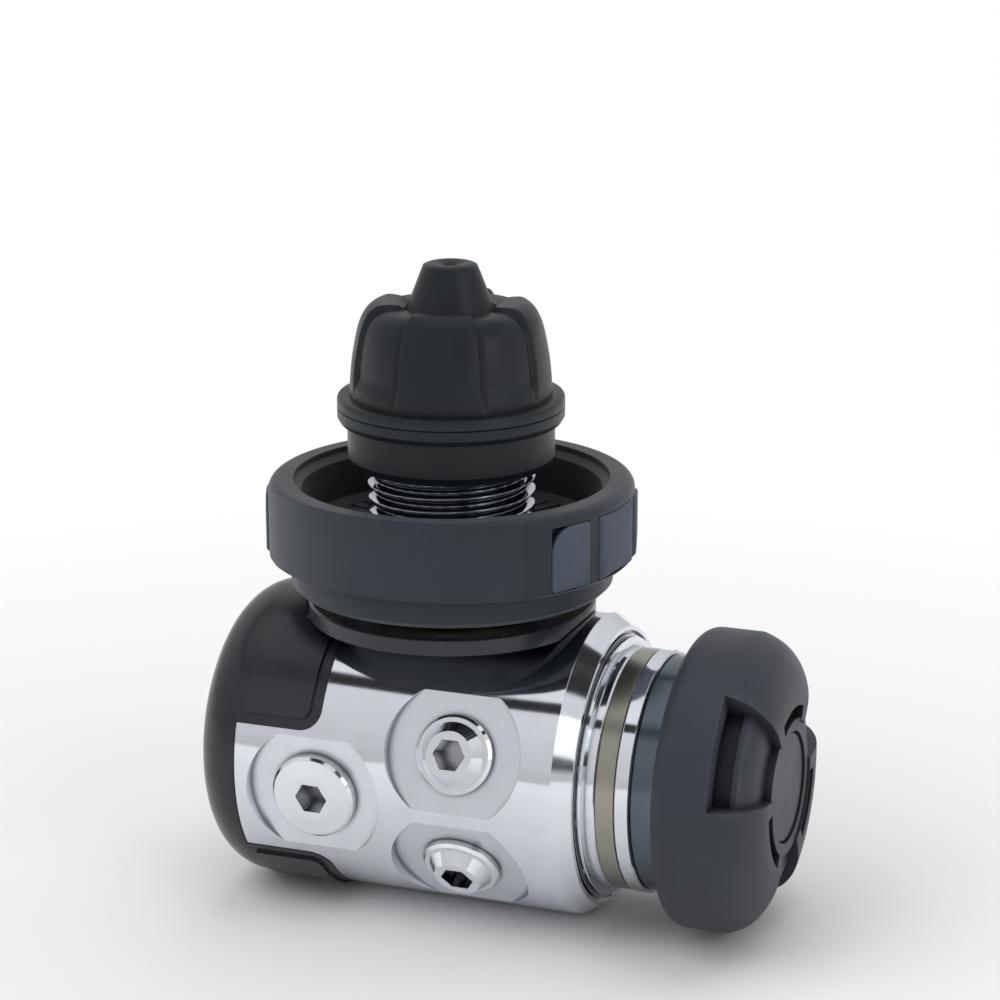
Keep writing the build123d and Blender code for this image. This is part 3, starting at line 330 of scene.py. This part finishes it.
def polished_chrome(name, hexa, spotfaces, shade_reach, waves=0.004):
    """Chromed brass, buffed: a mirror with the faintest swirl, satin port seats, painted shade in
    recesses.
    """
    made, tree, bsdf, place = start(name, Metallic=1.0)
    spot = place.outputs["Object"]
    swirl = noise(tree, spot, 5.0, 2.0, 0.5)
    haze = noise(tree, spot, 0.6, 4.0, 0.7)
    rough = between(tree, haze, 0.06, 0.1)
    colour = mixed(tree, between(tree, swirl, 0.0, 1.0), shade(hexa, 0.96), shade(hexa, 1.02))
    if spotfaces:
        flat = None
        for side in (-1, 1):
            for angle in spotfaces:
                out = (0, side * math.cos(math.radians(angle)), math.sin(math.radians(angle)))
                along = add(
                    tree,
                    "ShaderNodeVectorMath",
                    {0: place.outputs["Normal"], 1: out},
                    operation="DOT_PRODUCT",
                ).outputs["Value"]
                seat = add(
                    tree, "ShaderNodeMath", {0: along, 1: SEAT_FACING}, operation="GREATER_THAN"
                ).outputs[0]
                if flat is None:
                    flat = seat
                else:
                    flat = add(
                        tree, "ShaderNodeMath", {0: flat, 1: seat}, operation="MAXIMUM"
                    ).outputs[0]
        rough = add(
            tree,
            "ShaderNodeMapRange",
            {"Value": flat, "From Min": 0.0, "From Max": 1.0, "To Min": rough, "To Max": 0.3},
        ).outputs["Result"]
    # Painted shade: the plate's colour goes to near-black in hollows the occlusion lookup finds within
    # the given reach.
    painted_shade = between(tree, sky_share(tree, shade_reach, 6), 0.0, 1.0, 0.25, 0.8)
    tree.links.new(mixed(tree, painted_shade, linear(PAINTED_SHADE_COLOUR), colour), bsdf.inputs["Base Color"])
    tree.links.new(rough, bsdf.inputs["Roughness"])
    tree.links.new(relief(tree, swirl, waves), bsdf.inputs["Normal"])
    return made


def speckled(name, hexa, other, grain, roughness, metallic, depth):
    """Sintered grains fused together: speckled, with a sugary surface."""
    made, tree, bsdf, place = start(name, Metallic=metallic)
    cells = add(
        tree,
        "ShaderNodeTexVoronoi",
        {"Vector": place.outputs["Object"], "Scale": per_mm(grain)},
    )
    tree.links.new(
        mixed(tree, cells.outputs["Color"], linear(hexa), linear(other)), bsdf.inputs["Base Color"]
    )
    tree.links.new(
        between(tree, cells.outputs["Distance"], roughness, roughness + 0.2, 0.0, 0.6),
        bsdf.inputs["Roughness"],
    )
    tree.links.new(relief(tree, cells.outputs["Distance"], depth), bsdf.inputs["Normal"])
    return made


FINISHES = {}


def make_finishes():
    """Every finish, by the name of the slot it stands for."""
    hue = colours()
    FINISHES.update(
        # Bright nickel-chrome plate over machined brass: cold mirror, pale satin port seats.
        chromed_brass=polished_chrome("Chromed brass, polished", hue.chrome, PORT_LEVELS, 1.2),
        # The same plate on small turned plugs, a little brighter from their fresh polish.
        chromed_plugs=polished_chrome("Chromed brass plugs, polished", "#E6E9ED", (), 3.0),
        # Hard chrome on a cut thread: crisp crests, a greyer plate than the body's that stands in for
        # the shade in the thread, and painted shade on the flanks where they see one another.
        chromed_thread=polished_chrome("Chromed brass, thread cut", "#C4CAD3", (), 1.2, 0.0),
        # Anodised aluminium, satin turned: a warm band with no sharp reflections.
        champagne_ring=turned(
            "Anodised aluminium, champagne", hue.champagne, 0.26, "X", 0.25, 0.004
        ),
        # Stainless steel, fine turned and dark: blue-grey with thin bright rings.
        dark_steel=turned("Stainless steel, fine turned", hue.steel, 0.2, "X", 0.3, 0.006),
        # Glass-filled nylon, spark-eroded mould: charcoal with a fine dry grain.
        black_cap=moulded("Glass-filled nylon, grained", hue.cap, 0.46, 0.28, 0.022, wear=1.6),
        # Moulded chloroprene rubber: near black and semi-gloss, with a soft skin.
        boot_rubber=moulded(
            "Chloroprene rubber, moulded", hue.boot, 0.27, 0.5, 0.006, wear=1.8, gloss=0.5
        ),
        # Thermoplastic elastomer over nylon: fine grain and a dusty blue-grey sheen.
        wheel_rubber=moulded(
            "Thermoplastic elastomer, grained", hue.wheel, 0.48, 0.25, 0.02, wear=1.5, sheen=0.15
        ),
        # Softer elastomer in the grip pads: lighter, coarser and quite matt.
        pad_rubber=moulded("Thermoplastic elastomer, textured", hue.pads, 0.6, 0.34, 0.05, wear=1.3),
        # Polypropylene, satin moulded: black with a broad soft gloss.
        dust_cap_plastic=moulded(
            "Polypropylene, satin moulded", hue.dust_cap, 0.4, 0.3, 0.016, wear=1.9
        ),
        # Nitrile O-ring rubber: smooth, dark, lightly greased.
        seal_rubber=moulded("Nitrile rubber, greased", "#141416", 0.22, 0.8, 0.004),
        # Free-cutting brass, turned: yellow with close tool rings.
        brass=turned("Free-cutting brass, turned", "#C9A45C", 0.24, "X", 0.3, 0.006),
        # Drawn spring wire: grey, with marks along the draw.
        spring_steel=turned("Spring steel, drawn", "#9EA2A8", 0.28, "Y", 0.2, 0.004),
        # Sintered bronze: sugary grains, brown and gold.
        filter_bronze=speckled("Bronze, sintered", "#9C7A4E", "#6E5636", 0.35, 0.45, 1.0, 0.08),
        # Acetal, moulded: milky white and slightly waxy.
        white_polymer=moulded("Acetal, moulded", "#DAD8D0", 0.35, 0.6, 0.006, wear=1.05),
    )
    return FINISHES


def dress(obj, finish):
    """Gives an object one finish."""
    obj.data.materials.clear()
    obj.data.materials.append(FINISHES[finish])


# ---- meshes ----
def mesh_object(name, bm, finish, body, smooth_angle=35.0):
    """Turns a bmesh into a shaded piece on a body, dressed in the finish named."""
    bmesh.ops.recalc_face_normals(bm, faces=bm.faces)
    data = bpy.data.meshes.new(name)
    bm.to_mesh(data)
    bm.free()
    made = bpy.data.objects.new(name, data)
    bpy.context.scene.collection.objects.link(made)
    data.shade_smooth()
    data.set_sharp_from_angle(angle=math.radians(smooth_angle))
    dress(made, finish)
    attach(made, body)
    return made


def ring_rows(bm, rows, steps, place):
    """Closed skin through rows that go round an axis; a row gives (radius, height) at a share."""
    shares = [i / steps for i in range(steps)]
    rings = [[bm.verts.new(place(row(share), share)) for share in shares] for row in rows]
    for first, second in zip(rings, rings[1:] + rings[:1]):
        for i in range(steps):
            j = (i + 1) % steps
            bm.faces.new((first[i], first[j], second[j], second[i]))


def upright(point, share):
    """Point at a radius and a height round the DIN axis."""
    radius, height = point
    turn = share * math.tau
    return Vector((radius * math.cos(turn), radius * math.sin(turn), height))


def slab(bm, radii, turns, heights, steps, centre_z=None):
    """Curved slab round the DIN axis, or round the barrel axis where centre_z is given."""
    low, high = heights
    rows = []
    for i in range(steps + 1):
        turn = math.radians(turns[0] + (turns[1] - turns[0]) * i / steps)
        row = []
        for radius, height in ((radii[0], low), (radii[1], low), (radii[1], high), (radii[0], high)):
            if centre_z is None:
                row.append(bm.verts.new((radius * math.cos(turn), radius * math.sin(turn), height)))
            else:
                row.append(
                    bm.verts.new((height, -radius * math.cos(turn), centre_z + radius * math.sin(turn)))
                )
        rows.append(row)
    for first, second in zip(rows, rows[1:]):
        for k in range(4):
            n = (k + 1) % 4
            bm.faces.new((first[k], first[n], second[n], second[k]))
    bm.faces.new(rows[0][::-1])
    bm.faces.new(rows[-1])


class REGULATOR_OT_finishes(bpy.types.Operator):
    """Makes every finish and gives it to the engineered pieces"""

    bl_idname = "regulator.finishes"
    bl_label = "Finishes"

    def execute(self, context):
        make_finishes()
        for entry in frame["record"]["subparts"]:
            dress(frame["nodes"][entry["node"]], entry["material_slot"])
        return {"FINISHED"}


class REGULATOR_OT_stud(bpy.types.Operator):
    """Cuts the helical thread on the DIN stud"""

    bl_idname = "regulator.stud"
    bl_label = "Threaded stud"

    def execute(self, context):
        low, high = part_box("din_stud")
        hub_r = high.x
        top = high.z
        bore_r = 8.25 * MM
        crest_r = 11.455 * MM
        root_r = crest_r - sizes().thread_depth
        hub_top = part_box("wheel_collar")[1].z + 2.8 * MM
        thread_low, thread_high = hub_top + 0.4 * MM, top - 0.2 * MM
        lead = 1.2 * MM
        pitch = sizes().thread_pitch
        per_pitch = 34
        count = int((thread_high - thread_low) / pitch * per_pitch)

        def plain(radius, height):
            return lambda share: (radius, height)

        def cut(height):
            def at(share):
                phase = (height / pitch - share) % 1.0
                slope = abs(2 * phase - 1)
                profile = min(max((slope - 0.3) / 0.58, 0.0), 1.0)
                ends = min(height - thread_low, thread_high - height) / lead
                reach = root_r + (crest_r - root_r) * min(max(ends, 0.0), 1.0)
                return (min(root_r + (crest_r - root_r) * profile, max(reach, root_r)), height)

            return at

        heights = [thread_low + (thread_high - thread_low) * i / count for i in range(count + 1)]
        rows = [
            plain(bore_r, low.z),
            plain(hub_r, low.z),
            plain(hub_r, hub_top),
            plain(root_r, hub_top),
            *(cut(height) for height in heights),
            plain(root_r - 0.3 * MM, top),
            plain(bore_r, top),
        ]
        bm = bmesh.new()
        ring_rows(bm, rows, 200, upright)
        made = mesh_object("din_stud_thread", bm, "chromed_thread", "handwheel", 28.0)
        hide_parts("din_stud")
        return {"FINISHED"}


class REGULATOR_OT_grip_pads(bpy.types.Operator):
    """Grip pads let into the handwheel's two ends, the outer ones with one big round corner"""

    bl_idname = "regulator.grip_pads"
    bl_label = "Grip pads"

    def execute(self, context):
        low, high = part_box("grip_pads")
        outer_r = PAD_R * MM
        skins = self.skins(outer_r - PAD_THICK * MM, outer_r, sizes().pad_rounding)
        bm = bmesh.new()
        for side in (0, 180):
            for first, width, corners in PADS:
                middle = math.radians(side + first + width / 2)
                half = math.radians(width / 2) * outer_r
                self.pad(bm, middle, half, low.z, high.z, skins, corners)
        made = mesh_object("grip_pads_soft", bm, "pad_rubber", "handwheel", 50.0)
        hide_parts("grip_pads")
        return {"FINISHED"}

    def skins(self, inner_r, outer_r, round_off):
        """Radius and inset of each ring of a pad, from its back to its rounded face."""
        found = [(inner_r, 0.0), (outer_r - round_off, 0.0)]
        for k in range(1, 5):
            turn = math.pi / 2 * k / 4
            found.append(
                (outer_r - round_off * (1 - math.sin(turn)), round_off * (1 - math.cos(turn)))
            )
        found += [(outer_r, round_off + 0.8 * MM), (outer_r, round_off + 2.2 * MM)]
        return found

    def pad(self, bm, middle, half, low, high, skins, corners):
        """One pad; its corners run from the upper far one, over the upper near one."""
        tall = (high - low) / 2
        rings = []
        for radius, inset in skins:
            wide, up = half - inset, tall - inset
            ring = []
            for side, rise, begin, corner in (
                (1, 1, 0, corners[0]),
                (-1, 1, 90, corners[1]),
                (-1, -1, 180, corners[2]),
                (1, -1, 270, corners[3]),
            ):
                bend = max(corner * MM - inset, 0.2 * MM)
                for k in range(9):
                    turn = math.radians(begin + 90 * k / 8)
                    across = side * (wide - bend) + bend * math.cos(turn)
                    height = rise * (up - bend) + bend * math.sin(turn)
                    angle = middle + across / skins[-1][0]
                    ring.append(
                        bm.verts.new(
                            (
                                radius * math.cos(angle),
                                radius * math.sin(angle),
                                (low + high) / 2 + height,
                            )
                        )
                    )
            rings.append(ring)
        for first, second in zip(rings, rings[1:]):
            for k in range(len(first)):
                n = (k + 1) % len(first)
                bm.faces.new((first[k], first[n], second[n], second[k]))
        bm.faces.new(rings[0][::-1])
        bm.faces.new(rings[-1])


class REGULATOR_OT_wheel_ribs(bpy.types.Operator):
    """Low radial ribs on the floor of the handwheel's cup"""

    bl_idname = "regulator.wheel_ribs"
    bl_label = "Cup floor ribs"

    def execute(self, context):
        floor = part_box("wheel_collar")[1].z + 2.8 * MM
        bm = bmesh.new()
        for i in range(48):
            turn = 360 * i / 48
            slab(
                bm,
                (13.6 * MM, 19.4 * MM),
                (turn, turn + 1.6),
                (floor - 0.2 * MM, floor + sizes().rib_height),
                1,
            )
        mesh_object("wheel_floor_ribs", bm, "wheel_rubber", "handwheel")
        return {"FINISHED"}


class REGULATOR_OT_vent_ribs(bpy.types.Operator):
    """Fine ribs across the three water windows of the end cap"""

    bl_idname = "regulator.vent_ribs"
    bl_label = "Window ribs"

    def execute(self, context):
        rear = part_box("clamp_ring")[1].x + 0.05 * MM
        bm = bmesh.new()
        count = sizes().vent_ribs
        for lobe in range(3):
            begin = 10.5 + 120.0 * lobe
            for i in range(count):
                turn = begin + 41.0 * (i + 0.3) / count
                depth = (rear, rear + 1.15 * MM)
                slab(bm, (15.75 * MM, 17.65 * MM), (turn, turn + 1.7), depth, 1, BARREL_Z)
        mesh_object("window_ribs", bm, "black_cap", "barrel")
        return {"FINISHED"}


class REGULATOR_OT_dust_cap(bpy.types.Operator):
    """Dust cap with four rounded ribs, sunken panels between them and a dimpled cone"""

    bl_idname = "regulator.dust_cap"
    bl_label = "Dust cap"

    def execute(self, context):
        low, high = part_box("dust_cap")
        steps = 288
        bore_r = 10.1 * MM
        ceiling = high.z - 9.0 * MM
        flange = [
            (15.35, 0.0),
            (15.45, 0.1),
            (15.45, 1.1),
            (15.3, 1.4),
            (15.0, 1.55),
            (13.75, 1.55),
        ]
        rib = [
            (13.72, 2.2),
            (13.62, 4.0),
            (13.38, 6.4),
            (12.98, 8.8),
            (12.5, 10.9),
            (12.0, 12.2),
            (11.3, 13.3),
            (10.2, 14.1),
            (8.8, 14.25),
            (7.2, 14.1),
        ]
        panel = [
            (13.72, 2.2),
            (13.6, 3.3),
            (13.05, 4.6),
            (12.9, 6.4),
            (12.55, 8.8),
            (12.1, 10.8),
            (11.5, 12.1),
            (10.7, 13.0),
            (9.6, 13.5),
            (8.4, 13.6),
            (7.2, 13.6),
        ]
        cone = [
            (6.15, 13.4),
            (5.85, 13.6),
            (3.9, 18.6),
            (3.55, 19.2),
            (3.0, 19.45),
            (2.2, 19.45),
            (1.0, 19.05),
        ]
        base = low.z

        def row(first, second):
            return lambda share: self.mixed_point(first, second, share, base)

        rows = [row(point, point) for point in flange]
        fine_rib, fine_panel = self.smooth(rib), self.smooth(panel)
        rows += [row(a, b) for a, b in zip(fine_rib, fine_panel)]
        rows += [row(point, point) for point in self.smooth(cone)]
        rows.append(lambda share: (0.02 * MM, high.z - 1.35 * MM))
        rows.append(lambda share: (0.02 * MM, ceiling))
        rows.append(lambda share: (bore_r - 3 * MM, ceiling))
        rows.append(lambda share: (bore_r, base + 2.5 * MM))
        rows.append(lambda share: (bore_r, base))
        rows.append(lambda share: (15.35 * MM, base))
        bm = bmesh.new()
        ring_rows(bm, rows, steps, upright)
        made = mesh_object("dust_cap_ribbed", bm, "dust_cap_plastic", "dust_cap", 32.0)
        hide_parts("dust_cap")
        return {"FINISHED"}

    def mixed_point(self, rib, panel, share, base):
        """Point between the rib's and the panel's profile at a share of a full turn."""
        turn = (share * 360.0 + RIB_TURN) % 90.0
        off = min(turn, 90.0 - turn)
        blend = min(max((off - 23.5) / 2.6, 0.0), 1.0)
        blend = blend * blend * (3 - 2 * blend)
        groove = 0.16 * math.exp(-(((off - 26.5) / 1.2) ** 2)) if rib != panel else 0.0
        radius = rib[0] + (panel[0] - rib[0]) * blend - groove
        height = rib[1] + (panel[1] - rib[1]) * blend
        return (radius * MM, base + height * MM)

    def smooth(self, points, fine=5):
        """Catmull-Rom curve through profile points."""
        ends = [points[0], *points, points[-1]]
        found = []
        for a, b, c, d in zip(ends, ends[1:], ends[2:], ends[3:]):
            for k in range(fine):
                t = k / fine
                found.append(
                    tuple(
                        0.5
                        * (
                            2 * q
                            + (r - p) * t
                            + (2 * p - 5 * q + 4 * r - s) * t**2
                            + (3 * q - p - 3 * r + s) * t**3
                        )
                        for p, q, r, s in zip(a, b, c, d)
                    )
                )
        found.append(points[-1])
        return found


class REGULATOR_OT_stage(bpy.types.Operator):
    """Camera, pale floor, soft studio lamps and a white surround"""

    bl_idname = "regulator.stage"
    bl_label = "Studio"

    def execute(self, context):
        scene = context.scene
        self.camera(scene)
        self.floor(scene)
        self.lamps(scene)
        self.surround(scene)
        scene.view_settings.view_transform = "Standard"
        return {"FINISHED"}

    def camera(self, scene):
        data = bpy.data.cameras.new("Camera")
        data.sensor_width = 36
        data.lens = 110.7
        data.clip_start = 0.01
        made = bpy.data.objects.new("Camera", data)
        scene.collection.objects.link(made)
        made.location = (0.14937, -0.37568, 0.10252)
        towards = Vector((0.002856, 0.011048, -0.015285)) - made.location
        roll = Matrix.Rotation(math.radians(-0.14), 3, "Z")
        turn = towards.to_track_quat("-Z", "Y").to_matrix() @ roll
        made.rotation_euler = turn.to_euler()
        scene.camera = made

    def floor(self, scene):
        bm = bmesh.new()
        bmesh.ops.create_grid(bm, x_segments=8, y_segments=8, size=6.0)
        data = bpy.data.meshes.new("Floor")
        bm.to_mesh(data)
        bm.free()
        made = bpy.data.objects.new("Floor", data)
        scene.collection.objects.link(made)
        made.location.z = CAD_BOX[0].z - 0.05 * MM
        material, tree, bsdf, place = start("Paper backdrop, matt white", Roughness=0.9)
        bsdf.inputs["Base Color"].default_value = linear("#F2F2F2")
        spot = place.outputs["Object"]
        fibre = noise(tree, spot, 4.0, 3.0, 0.6)
        tree.links.new(relief(tree, fibre, 0.01), bsdf.inputs["Normal"])
        away = add(tree, "ShaderNodeVectorMath", {0: spot}, operation="LENGTH").outputs["Value"]
        far = between(tree, away, 0.0, 1.0, 0.07, 0.2)
        rays = add(tree, "ShaderNodeLightPath")
        shown = add(
            tree,
            "ShaderNodeMath",
            {0: rays.outputs["Is Camera Ray"], 1: rays.outputs["Is Glossy Ray"]},
            operation="MAXIMUM",
        ).outputs[0]
        shown = add(
            tree,
            "ShaderNodeMath",
            {0: shown, 1: rays.outputs["Is Transmission Ray"]},
            operation="MAXIMUM",
        ).outputs[0]
        factor = add(tree, "ShaderNodeMath", {0: shown, 1: far}, operation="MULTIPLY").outputs[0]
        white = add(tree, "ShaderNodeEmission", {"Color": (1, 1, 1, 1), "Strength": 1.0})
        mix = add(
            tree,
            "ShaderNodeMixShader",
            {0: factor, 1: bsdf.outputs["BSDF"], 2: white.outputs["Emission"]},
        )
        output = next(n for n in tree.nodes if n.type == "OUTPUT_MATERIAL")
        tree.links.new(mix.outputs[0], output.inputs["Surface"])
        data.materials.append(material)

    def lamps(self, scene):
        centre = (CAD_BOX[0] + CAD_BOX[1]) / 2
        for name, offset, size, power in (
            ("Key softbox", (-0.5, -0.45, 0.85), 0.8, 4.0),
            ("Fill softbox", (0.85, -0.4, 0.35), 0.6, 1.5),
            ("Top softbox", (0.1, 0.3, 1.0), 0.9, 4.0),
        ):
            data = bpy.data.lights.new(name, "AREA")
            data.shape = "SQUARE"
            data.size = size
            data.energy = power
            made = bpy.data.objects.new(name, data)
            scene.collection.objects.link(made)
            # The other two would wash out the dark band that polished metal mirrors.
            made.visible_glossy = name == "Fill softbox"
            made.location = centre + Vector(offset)
            made.rotation_euler = (-Vector(offset)).to_track_quat("-Z", "Y").to_euler()

    def surround(self, scene):
        world = bpy.data.worlds.new("Studio")
        scene.world = world
        world.use_nodes = True
        tree = world.node_tree
        tree.nodes.clear()
        rays = add(tree, "ShaderNodeLightPath")
        place = add(tree, "ShaderNodeTexCoord")
        up = add(tree, "ShaderNodeSeparateXYZ", {"Vector": place.outputs["Generated"]}).outputs["Z"]
        bands = add(tree, "ShaderNodeValToRGB", {"Fac": up})
        ramp = bands.color_ramp
        first, *others, last = SKY_BANDS
        for step, level in ((ramp.elements[0], first[1]), (ramp.elements[1], last[1])):
            step.color = (level, level, level, 1)
        for at, level in others:
            ramp.elements.new(at).color = (level, level, level, 1)
        card = add(
            tree,
            "ShaderNodeVectorMath",
            {0: place.outputs["Generated"], 1: DARK_CARD},
            operation="DOT_PRODUCT",
        ).outputs["Value"]
        lit = between(tree, card, 1.0, 0.12, 0.955, 0.975)
        mirror = add(
            tree, "ShaderNodeMath", {0: bands.outputs["Color"], 1: lit}, operation="MULTIPLY"
        ).outputs[0]
        strength = add(
            tree,
            "ShaderNodeMix",
            {"Factor": rays.outputs["Is Glossy Ray"], "A": 0.5, "B": mirror},
            data_type="FLOAT",
        ).outputs["Result"]
        seen = add(
            tree,
            "ShaderNodeMath",
            {0: rays.outputs["Is Camera Ray"], 1: rays.outputs["Is Transmission Ray"]},
            operation="MAXIMUM",
        ).outputs[0]
        strength = add(
            tree, "ShaderNodeMix", {"Factor": seen, "A": strength, "B": 1.0}, data_type="FLOAT"
        ).outputs["Result"]
        glow = add(tree, "ShaderNodeBackground", {"Color": (1, 1, 1, 1), "Strength": strength})
        output = add(tree, "ShaderNodeOutputWorld")
        tree.links.new(glow.outputs[0], output.inputs["Surface"])


class REGULATOR_PT_panel(bpy.types.Panel):
    """Sizes, colours and steps of the regulator"""

    bl_label = "First stage regulator"
    bl_idname = "REGULATOR_PT_panel"
    bl_space_type = "VIEW_3D"
    bl_region_type = "UI"
    bl_category = "Regulator"

    def draw(self, context):
        layout = self.layout
        for group in (context.scene.regulator_sizes, context.scene.regulator_colours):
            box = layout.box()
            for name in group.__annotations__:
                box.prop(group, name)
        for step in STEPS:
            layout.operator(step.bl_idname)


STEPS = (
    REGULATOR_OT_stage,
    REGULATOR_OT_finishes,
    REGULATOR_OT_stud,
    REGULATOR_OT_grip_pads,
    REGULATOR_OT_wheel_ribs,
    REGULATOR_OT_vent_ribs,
    REGULATOR_OT_dust_cap,
)
CLASSES = (RegulatorSizes, RegulatorColours, *STEPS, REGULATOR_PT_panel)


def register():
    """Registers the classes and hangs the properties on the scene."""
    for item in CLASSES:
        bpy.utils.register_class(item)
    bpy.types.Scene.regulator_sizes = bpy.props.PointerProperty(type=RegulatorSizes)
    bpy.types.Scene.regulator_colours = bpy.props.PointerProperty(type=RegulatorColours)


def unregister():
    """Takes the properties and the classes away again."""
    del bpy.types.Scene.regulator_colours
    del bpy.types.Scene.regulator_sizes
    for item in reversed(CLASSES):
        bpy.utils.unregister_class(item)


def main():
    """Registers the add-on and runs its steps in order."""
    register()
    for step in STEPS:
        group, name = step.bl_idname.split(".")
        getattr(getattr(bpy.ops, group), name)()


if __name__ == "__main__":
    main()
